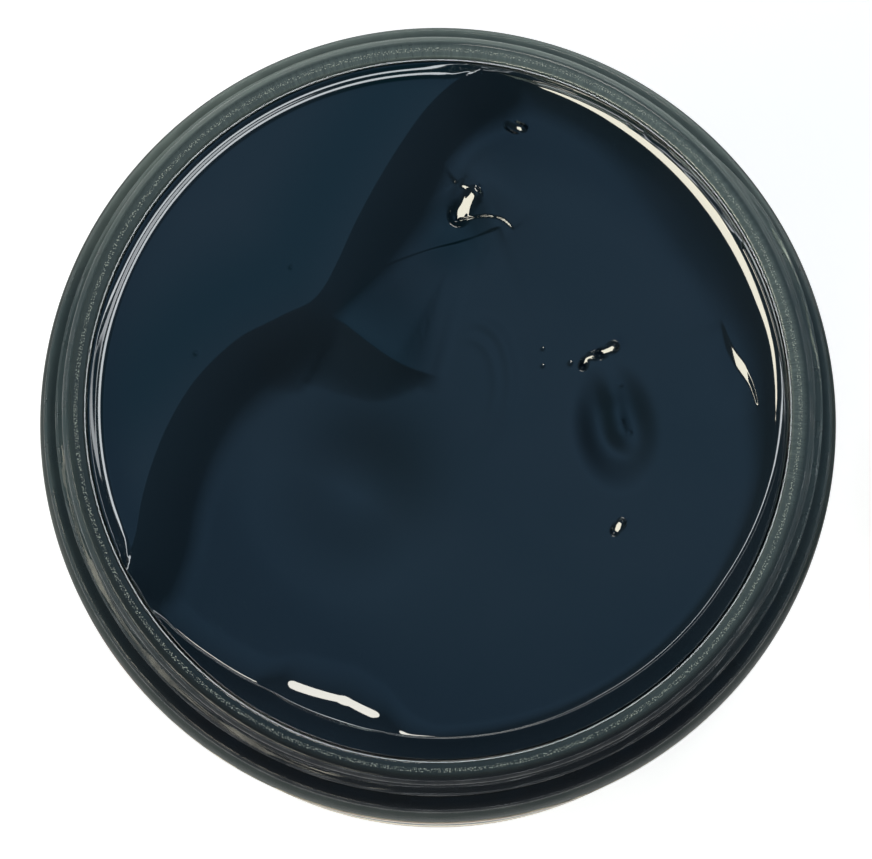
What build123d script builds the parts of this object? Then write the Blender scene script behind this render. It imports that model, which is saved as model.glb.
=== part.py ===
from build123d import *
import os
from math import cos, radians, sin

# Open screw-top paint jar with its cap taken off and lying beside it, mouth up.
# Millimetres. Origin: centre of the jar's base, on the surface it stands on. +Z is up the jar's axis.

# jar: one clear PET moulding
jar_height = 88.0
body_radius = 47.2
side_wall = 1.2
heel_radius = 6.0
standing_ring_width = 4.4
push_up_height = 3.2
push_up_slope_width = 3.5
panel_depth = 0.1
panel_step = 0.3
panel_to_heel = 3.0
panel_to_shoulder = 0.5
shoulder_height = 9.0

# screw finish: one right-hand thread of the 89-400 kind
neck_outer_radius = 43.2
neck_wall = 3.0
lip_inner_round = 0.5
lip_outer_round = 1.5
thread_depth = 1.15
thread_pitch = 5.08
thread_root_width = 2.6
thread_crest_width = 1.0
thread_lip_gap = 1.6
thread_ledge_gap = 0.5
thread_root_sink = 0.3
finish_depth = 10.5
ledge_setback = 1.1
ledge_round = 0.9
neck_foot_round = 0.8
ledge_lean = 0.3
neck_inside_to_ledge = 0.5
shoulder_inside_pull = 8.7
neck_inside_pull = 3.4

# paint: one thick mass that keeps the shape it was stirred into
paint_film = 0.12
paint_low_depth = 7.6
paint_high_depth = 2.2
cliff_round = 1.6
cliff_end_angles = (82.3, 207.4)
cliff_end_reach = 1.6
cliff_corner = (-14.7, 12.2)
cliff_bulges = (-1.6, -5.4)

# paint left on the inner wall above its level: each patch has its first and last angle in degrees,
# the depth of its top below the lip, and its height
smear_gap = 0.06
smear_thickness = 0.35
smear_round = 0.9
smear_patches = ((28.0, 57.0, 1.2, 5.2), (66.0, 84.0, 0.9, 3.2), (207.0, 216.0, 0.9, 3.0))

# label: a thin wrap round the panel
label_gap = 0.06
label_thickness = 0.25
label_margin = 0.5

# cap: ribbed shell with a loose foam liner
cap_thread_clearance = 0.35
cap_wall = 1.4
cap_top = 1.6
cap_ledge_gap = 0.5
cap_thread_gap = 0.8
cap_edge_round = 1.4
rib_count = 96
rib_height = 0.45
rib_width = 1.5
rib_top_margin = 2.4
liner_thickness = 1.2
liner_side_gap = 0.4
cap_distance = 14.5
cap_rest_gap = 0.2  # the cap stands this far clear, so that the jar alone settles on the surface

# places that follow from the sizes above
neck_bore_radius = neck_outer_radius - neck_wall
ledge_radius = body_radius - ledge_setback
ledge_top = jar_height - finish_depth
shoulder_start = ledge_top - shoulder_height
panel_top = shoulder_start - panel_to_shoulder
panel_bottom = heel_radius + panel_to_heel
panel_radius = body_radius - panel_depth
ring_out_radius = body_radius - heel_radius
ring_in_radius = ring_out_radius - standing_ring_width
push_up_radius = ring_in_radius - push_up_slope_width
cap_inner_radius = neck_outer_radius + thread_depth + cap_thread_clearance
cap_outer_radius = cap_inner_radius + cap_wall
cap_seat = cap_top + liner_thickness
cap_height = cap_seat + finish_depth - cap_ledge_gap
cap_centre_x = body_radius + cap_distance + cap_outer_radius


def jar_outside():
    """Half section of the jar's outer surface, base centre to lip, as a closed sketch."""
    ledge_rim = (ledge_radius, ledge_top)
    with BuildSketch(Plane.XZ) as section:
        with BuildLine():
            Line((0, jar_height), (0, push_up_height))
            Line((0, push_up_height), (push_up_radius, push_up_height))
            Spline((push_up_radius, push_up_height), (ring_in_radius, 0), tangents=((1, 0), (1, 0)))
            Line((ring_in_radius, 0), (ring_out_radius, 0))
            RadiusArc((ring_out_radius, 0), (body_radius, heel_radius), -heel_radius)
            Line((body_radius, heel_radius), (body_radius, panel_bottom - panel_step))
            Line((body_radius, panel_bottom - panel_step), (panel_radius, panel_bottom))
            Line((panel_radius, panel_bottom), (panel_radius, panel_top))
            Line((panel_radius, panel_top), (body_radius, panel_top + panel_step))
            Line((body_radius, panel_top + panel_step), (body_radius, shoulder_start))
            Spline((body_radius, shoulder_start), ledge_rim, tangents=((0, 1), (-ledge_lean, 1)))
            Line(ledge_rim, (neck_outer_radius, ledge_top))
            Line((neck_outer_radius, ledge_top), (neck_outer_radius, jar_height))
            Line((neck_outer_radius, jar_height), (0, jar_height))
        make_face()
    return section.sketch


def jar_inside(inset, top):
    """Half section of the jar's hollow up to a height, drawn in by an inset, as a closed sketch."""
    radius = panel_radius - side_wall - inset
    bore = neck_bore_radius - inset
    floor = side_wall + inset
    raised_floor = push_up_height + floor
    corner = radius - ring_out_radius
    shoulder_in = shoulder_start - inset
    neck_foot = ledge_top - neck_inside_to_ledge - inset
    side_pull = (radius, shoulder_in + shoulder_inside_pull)
    bore_pull = (bore, neck_foot - neck_inside_pull)
    with BuildSketch(Plane.XZ) as section:
        with BuildLine():
            Line((0, top), (0, raised_floor))
            Line((0, raised_floor), (push_up_radius, raised_floor))
            Spline((push_up_radius, raised_floor), (ring_in_radius, floor), tangents=((1, 0), (1, 0)))
            Line((ring_in_radius, floor), (ring_out_radius, floor))
            RadiusArc((ring_out_radius, floor), (radius, floor + corner), -corner)
            Line((radius, floor + corner), (radius, shoulder_in))
            Bezier((radius, shoulder_in), side_pull, bore_pull, (bore, neck_foot))
            Line((bore, neck_foot), (bore, top))
            Line((bore, top), (0, top))
        make_face()
    return section.sketch


def thread_ridge(root_radius, height, low_z, high_z, inward):
    """One helical ridge that fills a height: a tapered bar swept up the helix, sunk into its wall."""
    side = -1 if inward else 1
    foot = root_radius - side * thread_root_sink
    crest = root_radius + side * height
    slope = (thread_root_width - thread_crest_width) / 2 * thread_root_sink / height
    root_half = thread_root_width / 2 + slope
    crest_half = thread_crest_width / 2
    start_z = low_z + thread_root_width / 2
    rise = high_z - low_z - thread_root_width
    path = Helix(thread_pitch, rise, foot, center=(0, 0, start_z))
    with BuildSketch(Plane.XZ) as bar:
        with BuildLine():
            Polyline(
                (foot, start_z - root_half),
                (crest, start_z - crest_half),
                (crest, start_z + crest_half),
                (foot, start_z + root_half),
                close=True,
            )
        make_face()
    return sweep(bar.sketch, path=path, is_frenet=True)


def make_jar():
    top = jar_height
    shell = revolve(jar_outside(), Axis.Z) - revolve(jar_inside(0, top), Axis.Z)
    lip = shell.edges().filter_by(GeomType.CIRCLE).group_by(Axis.Z)[-1].sort_by(SortBy.RADIUS)
    shell = fillet(lip[0], lip_inner_round)
    lip = shell.edges().filter_by(GeomType.CIRCLE).group_by(Axis.Z)[-1].sort_by(SortBy.RADIUS)
    shell = fillet(lip[-1], lip_outer_round)
    ledge = shell.edges().filter_by(GeomType.CIRCLE).filter_by_position(Axis.Z, ledge_top, ledge_top)
    shell = fillet(ledge.sort_by(SortBy.RADIUS)[-1], ledge_round)
    ledge = shell.edges().filter_by(GeomType.CIRCLE).filter_by_position(Axis.Z, ledge_top, ledge_top)
    shell = fillet(ledge.sort_by(SortBy.RADIUS)[0], neck_foot_round)
    low_z = ledge_top + thread_ledge_gap
    high_z = jar_height - thread_lip_gap
    return shell + thread_ridge(neck_outer_radius, thread_depth, low_z, high_z, False)


def wall_point(angle):
    """Where a cliff ends: just outside the bore, at an angle round the axis."""
    radius = neck_bore_radius + cliff_end_reach
    return (radius * cos(radians(angle)), radius * sin(radians(angle)))


def make_paint():
    """Low paint to one level, with the high part standing on it behind a cliff of two curves."""
    low_top = jar_height - paint_low_depth
    high_top = jar_height - paint_high_depth
    low = revolve(jar_inside(paint_film, low_top), Axis.Z)
    reach = 2 * neck_bore_radius
    start, end = [wall_point(angle) for angle in cliff_end_angles]
    with BuildSketch(Plane.XY.offset(low_top - cliff_round)) as high:
        with BuildLine():
            SagittaArc(start, cliff_corner, cliff_bulges[0])
            SagittaArc(cliff_corner, end, cliff_bulges[1])
            Polyline(end, (-reach, end[1]), (-reach, reach), (start[0], reach), start)
        make_face()
        Circle(neck_bore_radius - paint_film, mode=Mode.INTERSECT)
    block = extrude(high.sketch, high_top - low_top + cliff_round)
    inside = neck_bore_radius - 2 * cliff_round
    rims = [e for e in block.edges().group_by(Axis.Z)[-1] if (e @ 0.5).X ** 2 + (e @ 0.5).Y ** 2 < inside**2]
    return low + fillet(rims, cliff_round)


def make_smear(start, end, top_depth, height):
    """One thin curved patch, cut with rounded corners from a ring just inside the bore."""
    outer = neck_bore_radius - smear_gap
    ring = Cylinder(outer, height) - Cylinder(outer - smear_thickness, height)
    middle = (start + end) / 2
    width = outer * radians(end - start)
    window = Plane.YZ * RectangleRounded(width, height, smear_round)
    cutter = extrude(window, outer + 1)
    patch = (ring & cutter).rotate(Axis.Z, middle)
    return patch.translate((0, 0, jar_height - top_depth - height / 2))


def make_label():
    inner = panel_radius + label_gap
    height = panel_top - panel_bottom - 2 * label_margin
    ring = Cylinder(inner + label_thickness, height) - Cylinder(inner, height)
    return ring.translate((0, 0, (panel_top + panel_bottom) / 2))


def make_lid_shell():
    """Cap with its mouth up: its outer top face is at z 0 and its thread runs down from the rim."""
    cup = Cylinder(cap_outer_radius, cap_height, align=(Align.CENTER, Align.CENTER, Align.MIN))
    edge = cup.edges().filter_by(GeomType.CIRCLE).sort_by(Axis.Z)[0]
    cup = fillet(edge, cap_edge_round)
    hollow = Cylinder(cap_inner_radius, cap_height, align=(Align.CENTER, Align.CENTER, Align.MIN))
    cup -= hollow.translate((0, 0, cap_top))
    with BuildSketch(Plane.XY.offset(rib_top_margin)) as ribs:
        with PolarLocations(cap_outer_radius, rib_count):
            Ellipse(rib_height, rib_width / 2)
        Circle(cap_outer_radius - cap_wall / 2, mode=Mode.SUBTRACT)
    cup += extrude(ribs.sketch, cap_height - rib_top_margin)
    low_z = cap_seat + cap_thread_gap
    return cup + thread_ridge(cap_inner_radius, thread_depth, low_z, cap_height - cap_thread_gap, True)


def make_lid_liner():
    radius = cap_inner_radius - liner_side_gap
    disc = Cylinder(radius, liner_thickness, align=(Align.CENTER, Align.CENTER, Align.MIN))
    return disc.translate((0, 0, cap_top))


def cap_place(piece):
    return piece.translate((cap_centre_x, 0, cap_rest_gap))


nodes = {
    "jar": make_jar(),
    "paint": make_paint(),
    "wall_smears": Compound(children=[make_smear(*patch) for patch in smear_patches]),
    "label": make_label(),
    "lid_shell": cap_place(make_lid_shell()),
    "lid_liner": cap_place(make_lid_liner()),
}

os.makedirs("parts", exist_ok=True)
for name, piece in nodes.items():
    export_step(piece, f"parts/{name}.step")
    print(name, len(piece.solids()), round(piece.volume / 1000, 2), "cm3")
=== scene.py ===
# Open jar of navy artist's paint, seen from above. The screw cap lies beside it, mouth up.
import math
import bpy
import bmesh
import numpy as np
from mathutils import Matrix, Vector, noise


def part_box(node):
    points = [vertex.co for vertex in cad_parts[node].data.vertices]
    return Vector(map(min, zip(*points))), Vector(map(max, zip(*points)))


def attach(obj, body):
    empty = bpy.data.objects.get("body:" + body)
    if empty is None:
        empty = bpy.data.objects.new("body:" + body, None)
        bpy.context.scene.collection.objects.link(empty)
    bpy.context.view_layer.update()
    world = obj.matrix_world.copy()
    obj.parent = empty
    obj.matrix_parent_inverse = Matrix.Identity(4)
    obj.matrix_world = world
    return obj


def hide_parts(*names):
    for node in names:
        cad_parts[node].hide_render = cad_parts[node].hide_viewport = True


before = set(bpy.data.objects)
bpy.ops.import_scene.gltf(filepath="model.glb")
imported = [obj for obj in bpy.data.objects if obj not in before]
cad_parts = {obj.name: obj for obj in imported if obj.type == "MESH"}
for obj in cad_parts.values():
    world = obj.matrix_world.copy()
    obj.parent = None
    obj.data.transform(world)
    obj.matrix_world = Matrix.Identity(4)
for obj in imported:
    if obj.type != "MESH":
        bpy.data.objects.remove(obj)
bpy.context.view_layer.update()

mm = 0.001
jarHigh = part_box("jar")[1]
labelLow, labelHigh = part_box("label")
capLow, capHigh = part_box("lid_shell")
lipHeight = jarHigh.z / mm
bodyRadius = jarHigh.x / mm
capCentre = (capLow + capHigh) / 2 / mm
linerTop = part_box("lid_liner")[1].z / mm


def linearColour(hexColour):
    parts = [int(hexColour[i : i + 2], 16) / 255 for i in (1, 3, 5)]
    return [*(c / 12.92 if c < 0.04045 else ((c + 0.055) / 1.055) ** 2.4 for c in parts), 1.0]


def addNode(tree, kind, settings=None, links=None):
    node = tree.nodes.new("ShaderNode" + kind)
    for key, value in (settings or {}).items():
        if isinstance(key, int) or key in node.inputs:
            node.inputs[key].default_value = value
        else:
            setattr(node, key, value)
    for key, source in (links or {}).items():
        if isinstance(source, bpy.types.Node):
            # a node stands for the first output that it has switched on
            source = next(socket for socket in source.outputs if socket.enabled)
        tree.links.new(source, node.inputs[key])
    return node


def newMaterial(name):
    material = bpy.data.materials.new(name)
    material.use_nodes = True
    material.node_tree.nodes.clear()
    return material, material.node_tree


def roundPlace(tree, centreX=0):
    # Object coordinates, their parts from an upright axis at centreX in mm, and the distance from that axis
    place = addNode(tree, "TexCoord").outputs["Object"]
    centred = place
    if centreX:
        centred = addNode(tree, "Mapping", {"Location": [-centreX * mm, 0, 0]}, {"Vector": place})
    parts = addNode(tree, "SeparateXYZ", links={0: centred}).outputs
    level = addNode(tree, "CombineXYZ", links={0: parts["X"], 1: parts["Y"]})
    radius = addNode(tree, "VectorMath", {"operation": "LENGTH"}, {0: level})
    return place, parts, radius


def finishMaterial(tree, shader):
    addNode(tree, "OutputMaterial", links={"Surface": shader})


def makePiece(name, bm, body, materials, replaced=()):
    mesh = bpy.data.meshes.new(name)
    bm.to_mesh(mesh)
    bm.free()
    mesh.transform(Matrix.Scale(mm, 4))
    for polygon in mesh.polygons:
        polygon.use_smooth = True
    piece = bpy.data.objects.new(name, mesh)
    bpy.context.scene.collection.objects.link(piece)
    for material in materials:
        mesh.materials.append(material)
    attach(piece, body)
    if replaced:
        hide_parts(*replaced)
    print("made", name, sum(len(p.vertices) - 2 for p in mesh.polygons), "triangles")
    return piece


def addTo(bm, part):
    # joins a second bmesh to the first
    mesh = bpy.data.meshes.new("part")
    part.to_mesh(mesh)
    part.free()
    bm.from_mesh(mesh)
    bpy.data.meshes.remove(mesh)


def roundedLine(corners, arcSteps=5, edgeGap=0.35, longest=4.0):
    # corners are (radius, height, rounding); straight stretches get rows near their ends
    points = []
    for i, (r, z, rounding) in enumerate(corners):
        here = Vector((r, z))
        if rounding == 0:
            points.append(here)
            continue
        back = (Vector(corners[i - 1][:2]) - here).normalized()
        ahead = (Vector(corners[i + 1][:2]) - here).normalized()
        half = back.angle(ahead) / 2
        cut = rounding / math.tan(half)
        centre = here + (back + ahead).normalized() * rounding / math.sin(half)
        start, end = here + back * cut - centre, here + ahead * cut - centre
        turn = start.angle_signed(end)
        for k in range(arcSteps + 1):
            points.append(centre + Matrix.Rotation(-turn * k / arcSteps, 2) @ start)
    rows = [points[0]]
    for here in points[1:]:
        last = rows[-1]
        span = (here - last).length
        if span > 3 * edgeGap:
            inner = span - 2 * edgeGap
            pieces = max(1, math.ceil(inner / longest))
            way = (here - last) / span
            rows += [last + way * (edgeGap + inner * k / pieces) for k in range(pieces + 1)]
        rows.append(here)
    return rows


def bezier(p0, p1, p2, p3, steps):
    p0, p1, p2, p3 = map(Vector, (p0, p1, p2, p3))
    found = []
    for k in range(1, steps):
        t = k / steps
        found.append(p0 * (1 - t) ** 3 + p1 * 3 * t * (1 - t) ** 2 + p2 * 3 * t * t * (1 - t) + p3 * t**3)
    return found


def spinLine(rows, steps, closed=False):
    bm = bmesh.new()
    verts = [bm.verts.new((p.x, 0, p.y)) for p in rows]
    edges = [bm.edges.new(pair) for pair in zip(verts, verts[1:])]
    if closed:
        edges.append(bm.edges.new((verts[-1], verts[0])))
    bmesh.ops.spin(bm, geom=verts + edges, cent=(0, 0, 0), axis=(0, 0, 1), dvec=(0, 0, 0),
                   angle=math.tau, steps=steps, use_merge=True, use_duplicate=False)
    bmesh.ops.remove_doubles(bm, verts=bm.verts, dist=0.0005)
    bmesh.ops.recalc_face_normals(bm, faces=bm.faces)
    return bm


def smoothStep(x, low, high):
    t = np.clip((x - low) / (high - low), 0, 1)
    return t * t * (3 - 2 * t)


cameraPlace = dict(
    distance=500.0,  # mm from the middle of the lip
    tilt=6.0,  # degrees from straight down
    lens=180.2,
    aimX=-0.23,  # mm, where the picture's middle meets the lip's plane
    aimY=-2.6,
)


def makeCamera():
    tilt = math.radians(cameraPlace["tilt"])
    away = Vector((0, -math.sin(tilt), math.cos(tilt))) * cameraPlace["distance"]
    eye = (Vector((0, 0, lipHeight)) + away) * mm
    aim = Vector((cameraPlace["aimX"], cameraPlace["aimY"], lipHeight)) * mm
    data = bpy.data.cameras.new("camera")
    data.lens = cameraPlace["lens"]
    data.clip_start = 0.01
    camera = bpy.data.objects.new("camera", data)
    bpy.context.scene.collection.objects.link(camera)
    look = (aim - eye).normalized()
    side = look.cross(Vector((0, 1, 0))).normalized()
    up = side.cross(look)
    turn = Matrix((side, up, -look)).transposed().to_4x4()
    camera.matrix_world = Matrix.Translation(eye) @ turn
    bpy.context.scene.camera = camera


makeCamera()

# a studio with dim walls and ceiling, so that the gloss stays dark, a low bright band and two windows
lightPlan = dict(
    horizon="#e6e6e4",
    glow="#eaf0f4",
    glowStrength=8.5,
    glowLow=0.015,  # sines of the band's lowest and highest elevation
    glowHigh=0.125,
    glowEdge=0.01,
    walls="#3a4f5d",
    ceiling="#668eb0",  # a bluish patch straight above
    wallTop=0.6,  # sines of the elevations between which the dim walls turn to ceiling
    ceilingEdge=0.985,
    dimSide=0.3,  # how much dimmer the walls are at the front left than at the back right
    brightSide=1.05,
    brightWay=(0.5, 0.85, 0.0),
    dimUntil=-0.5,  # shares of that way between which the walls turn bright
    brightFrom=0.16,
    floorColour="#dcdcdb",
    floorLift=0.72,
    floorSize=6000.0,
)


def makeWorld():
    s = lightPlan
    world = bpy.data.worlds.new("studio")
    bpy.context.scene.world = world
    world.use_nodes = True
    tree = world.node_tree
    tree.nodes.clear()
    place = addNode(tree, "TexCoord").outputs["Generated"]
    height = addNode(tree, "SeparateXYZ", links={0: place}).outputs["Z"]
    band = addNode(tree, "ValToRGB", links={0: height})
    stops = [
        (0.0, s["horizon"], 1.0),
        (s["glowLow"], s["horizon"], 1.0),
        (s["glowLow"] + s["glowEdge"] / 2, s["glow"], s["glowStrength"]),
        (s["glowHigh"] - s["glowEdge"], s["glow"], s["glowStrength"]),
        (s["glowHigh"] + s["glowEdge"], s["walls"], 1.0),
        (s["wallTop"], s["walls"], 1.0),
        (s["ceilingEdge"], s["ceiling"], 1.0),
    ]
    ramp = band.color_ramp.elements
    while len(ramp) < len(stops):
        ramp.new(0.5)
    for stop, (position, colour, strength) in zip(ramp, stops):
        stop.position = position
        stop.color = [c * strength for c in linearColour(colour)[:3]] + [1]
    lean = addNode(tree, "VectorMath", {"operation": "DOT_PRODUCT", 1: s["brightWay"]}, {0: place})
    shade = addNode(tree, "MapRange",
                    {"From Min": s["dimUntil"], "From Max": s["brightFrom"], "To Min": s["dimSide"],
                     "To Max": s["brightSide"]}, {"Value": lean})
    high = addNode(tree, "Math", {"operation": "GREATER_THAN", 1: s["glowHigh"] + s["glowEdge"]},
                   {0: height})
    factor = addNode(tree, "Mix", {"data_type": "FLOAT", 2: 1.0}, {0: high, 3: shade})
    sky = addNode(tree, "Background", links={"Color": band, "Strength": factor})
    addNode(tree, "OutputWorld", links={"Surface": sky})


def makeFloor():
    bm = bmesh.new()
    bmesh.ops.create_grid(bm, x_segments=2, y_segments=2, size=lightPlan["floorSize"] / 2 * mm)
    mesh = bpy.data.meshes.new("floor")
    bm.to_mesh(mesh)
    bm.free()
    floor = bpy.data.objects.new("floor", mesh)
    bpy.context.scene.collection.objects.link(floor)
    material, tree = newMaterial("painted white board")
    path = addNode(tree, "LightPath").outputs
    seen = addNode(tree, "Math", {"operation": "MAXIMUM"},
                   {0: path["Is Camera Ray"], 1: path["Is Glossy Ray"]})
    seen = addNode(tree, "Math", {"operation": "MAXIMUM"}, {0: seen, 1: path["Is Transmission Ray"]})
    lift = addNode(tree, "Math", {"operation": "MULTIPLY", 1: lightPlan["floorLift"]}, {0: seen})
    board = addNode(tree, "BsdfDiffuse", {"Color": linearColour(lightPlan["floorColour"])})
    glow = addNode(tree, "Emission", {"Color": (1, 1, 1, 1)}, {"Strength": lift})
    both = addNode(tree, "AddShader", links={0: board, 1: glow})
    finishMaterial(tree, both)
    mesh.materials.append(material)


def addSoftbox(name, azimuth, elevation, distance, size, radiance, tint):
    # an oval lamp whose face has a set radiance, so that it shows in gloss as bright as that
    data = bpy.data.lights.new(name, "AREA")
    data.shape = "ELLIPSE"
    data.size, data.size_y = size[0] * mm, size[1] * mm
    data.energy = radiance * math.pi * math.pi / 4 * data.size * data.size_y
    data.color = linearColour(tint)[:3]
    lamp = bpy.data.objects.new(name, data)
    bpy.context.scene.collection.objects.link(lamp)
    around, up = math.radians(azimuth), math.radians(elevation)
    way = Vector((math.cos(around) * math.cos(up), math.sin(around) * math.cos(up), math.sin(up)))
    lamp.location = (way * distance + Vector((0, 0, lipHeight))) * mm
    lamp.rotation_euler = way.to_track_quat("Z", "Y").to_euler()


makeWorld()
makeFloor()
addSoftbox("windowFrontLeft", azimuth=219, elevation=24, distance=2000, size=(3300, 360), radiance=12,
           tint="#fffae6")
addSoftbox("windowBackRight", azimuth=70, elevation=38, distance=2000, size=(1000, 420), radiance=12,
           tint="#fdfaf0")
print("camera, floor and lights done")

jarShape = dict(
    neckRadius=43.2,
    boreRadius=40.2,
    lipOuterRound=1.5,
    lipAngles=[88, 75, 60, 52, 50, 48, 46, 44, 42, 40, 30, 18, 6],  # degrees, from the bore up to the lip
    lipLengths=[0.16, 0.05, 0.04, 0.06, 0.11, 0.11, 0.11, 0.11, 0.11, 0.11, 0.05, 0.05, 0.05],
    finishDepth=10.5,
    ledgeRadius=46.1,
    ledgeRound=0.9,
    ledgeDeep=1.4,
    neckFootRound=0.8,
    neckFootRise=1.0,
    ledgeLean=0.12,  # how far the ledge's edge leans out over its depth
    shoulderPull=(0.8, 2.0),  # out and down from the ledge
    shoulderFoot=3.0,
    shoulderHeight=9.0,
    sidePull=8.7,
    borePull=3.4,
    neckInside=0.5,
    panelDepth=0.1,
    panelStep=0.3,
    panelToShoulder=0.5,
    panelToHeel=3.0,
    heel=6.0,
    standingRing=4.4,
    pushUp=3.2,
    pushUpSlope=3.5,
    pushUpPull=1.6,
    wall=1.2,
    gateRadius=1.6,  # the nub left in the middle of the base
    gateHeight=0.35,
    threadDepth=1.15,
    threadPitch=5.08,
    threadRoot=2.6,
    threadCrest=1.0,
    threadLipGap=1.6,
    threadLedgeGap=0.5,
    threadRunOut=0.06,  # turns over which each end tapers
    steps=300,
)
ledgeTop = lipHeight - jarShape["finishDepth"]
shoulderStart = ledgeTop - jarShape["shoulderHeight"]
panelTop = shoulderStart - jarShape["panelToShoulder"]
panelBottom = jarShape["heel"] + jarShape["panelToHeel"]
panelRadius = bodyRadius - jarShape["panelDepth"]


def innerRows(grow, top, longest=6):
    # the hollow's outline from the middle of its floor up to a height, pushed out by grow
    s = jarShape
    radius = panelRadius - s["wall"] + grow
    bore = s["boreRadius"] + grow
    floor = s["wall"] - grow
    ringOut = bodyRadius - s["heel"]
    ringIn = ringOut - s["standingRing"]
    slopeIn = ringIn - s["pushUpSlope"]
    raised = floor + s["pushUp"]
    shoulder = shoulderStart + grow
    neckFoot = ledgeTop - s["neckInside"] + grow
    rows = roundedLine([(0, raised, 0), (slopeIn, raised, 0)], longest=12)
    pull = s["pushUpPull"]
    rows += bezier((slopeIn, raised), (slopeIn + pull, raised), (ringIn - pull, floor), (ringIn, floor), 6)
    side = [(ringIn, floor, 0), (radius, floor, radius - ringOut), (radius, shoulder, 0)]
    rows += roundedLine(side, 7, 0.6, 12)
    rows += bezier((radius, shoulder), (radius, shoulder + s["sidePull"]), (bore, neckFoot - s["borePull"]),
                   (bore, neckFoot), 16)
    rows += roundedLine([(bore, neckFoot, 0), (bore, top, 0)], edgeGap=0.35, longest=longest)
    return rows


def lipRows():
    # the bore's top edge: a short slope of about 45 degrees rolls into the flat lip
    slopes = list(zip(jarShape["lipAngles"], jarShape["lipLengths"]))
    across = sum(length * math.cos(math.radians(angle)) for angle, length in slopes)
    here = Vector((jarShape["boreRadius"] + across, lipHeight))
    rows = [here]
    for angle, length in reversed(slopes):
        tilt = math.radians(angle)
        here = here - Vector((math.cos(tilt), math.sin(tilt))) * length
        rows.append(here)
    return rows[::-1]


def outerRows():
    # the outside's outline from the lip down and under the base to its middle
    s = jarShape
    ringOut = bodyRadius - s["heel"]
    ringIn = ringOut - s["standingRing"]
    slopeIn = ringIn - s["pushUpSlope"]
    neckEnd = ledgeTop + s["neckFootRise"]
    ledgeFoot = (s["ledgeRadius"] + s["ledgeLean"], ledgeTop - s["ledgeDeep"])
    pull = (s["ledgeRadius"] + s["shoulderPull"][0], ledgeFoot[1] - s["shoulderPull"][1])
    foot = (bodyRadius, shoulderStart)
    rows = roundedLine([
        (lipRows()[-1].x + 0.1, lipHeight, 0),
        (s["neckRadius"], lipHeight, s["lipOuterRound"]),
        (s["neckRadius"], neckEnd, 0)], 8, 0.12, 0.25)
    rows += roundedLine([
        (s["neckRadius"], neckEnd - 0.1, 0),
        (s["neckRadius"], ledgeTop, s["neckFootRound"]),
        (s["ledgeRadius"], ledgeTop, s["ledgeRound"]),
        (*ledgeFoot, 0)], 7, 0.1, 0.4)
    rows += bezier(ledgeFoot, pull, (bodyRadius, shoulderStart + s["shoulderFoot"]), foot, 12)
    rows += roundedLine([
        (*foot, 0),
        (bodyRadius, panelTop + s["panelStep"], 0),
        (panelRadius, panelTop, 0),
        (panelRadius, panelBottom, 0),
        (bodyRadius, panelBottom - s["panelStep"], 0.6),
        (bodyRadius, 0, s["heel"]),
        (ringIn, 0, 0)], 6, 0.3, 12)
    inner = (slopeIn + s["pushUpPull"], s["pushUp"])
    rows += bezier((ringIn, 0), (ringIn - s["pushUpPull"], 0), inner, (slopeIn, s["pushUp"]), 6)
    rows += roundedLine([
        (slopeIn, s["pushUp"], 0),
        (s["gateRadius"] + 0.3, s["pushUp"], 0),
        (s["gateRadius"], s["pushUp"] - s["gateHeight"], 0),
        (0, s["pushUp"] - s["gateHeight"], 0)], edgeGap=0.3, longest=12)
    return rows


def raiseThread(bm):
    # the screw thread: a tapered ridge that climbs the neck once and a bit
    s = jarShape
    low = ledgeTop + s["threadLedgeGap"] + s["threadRoot"] / 2
    rise = s["finishDepth"] - s["threadLedgeGap"] - s["threadLipGap"] - s["threadRoot"]
    turns = rise / s["threadPitch"]
    for v in bm.verts:
        r = math.hypot(v.co.x, v.co.y)
        if abs(r - s["neckRadius"]) > 0.02 or not ledgeTop + 0.3 < v.co.z < lipHeight - 1.4:
            continue
        around = math.atan2(v.co.y, v.co.x) / math.tau % 1
        height = 0
        for lap in (0, 1):
            along = around + lap
            if along > turns:
                continue
            off = abs(v.co.z - low - along * s["threadPitch"])
            ramp = (s["threadRoot"] / 2 - off) / ((s["threadRoot"] - s["threadCrest"]) / 2)
            ends = min(along, turns - along) / s["threadRunOut"]
            height = max(height, min(1, max(0, ramp)) * min(1, ends))
        height = height * height * (3 - 2 * height) * s["threadDepth"]
        v.co.x *= (r + height) / r
        v.co.y *= (r + height) / r


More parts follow.
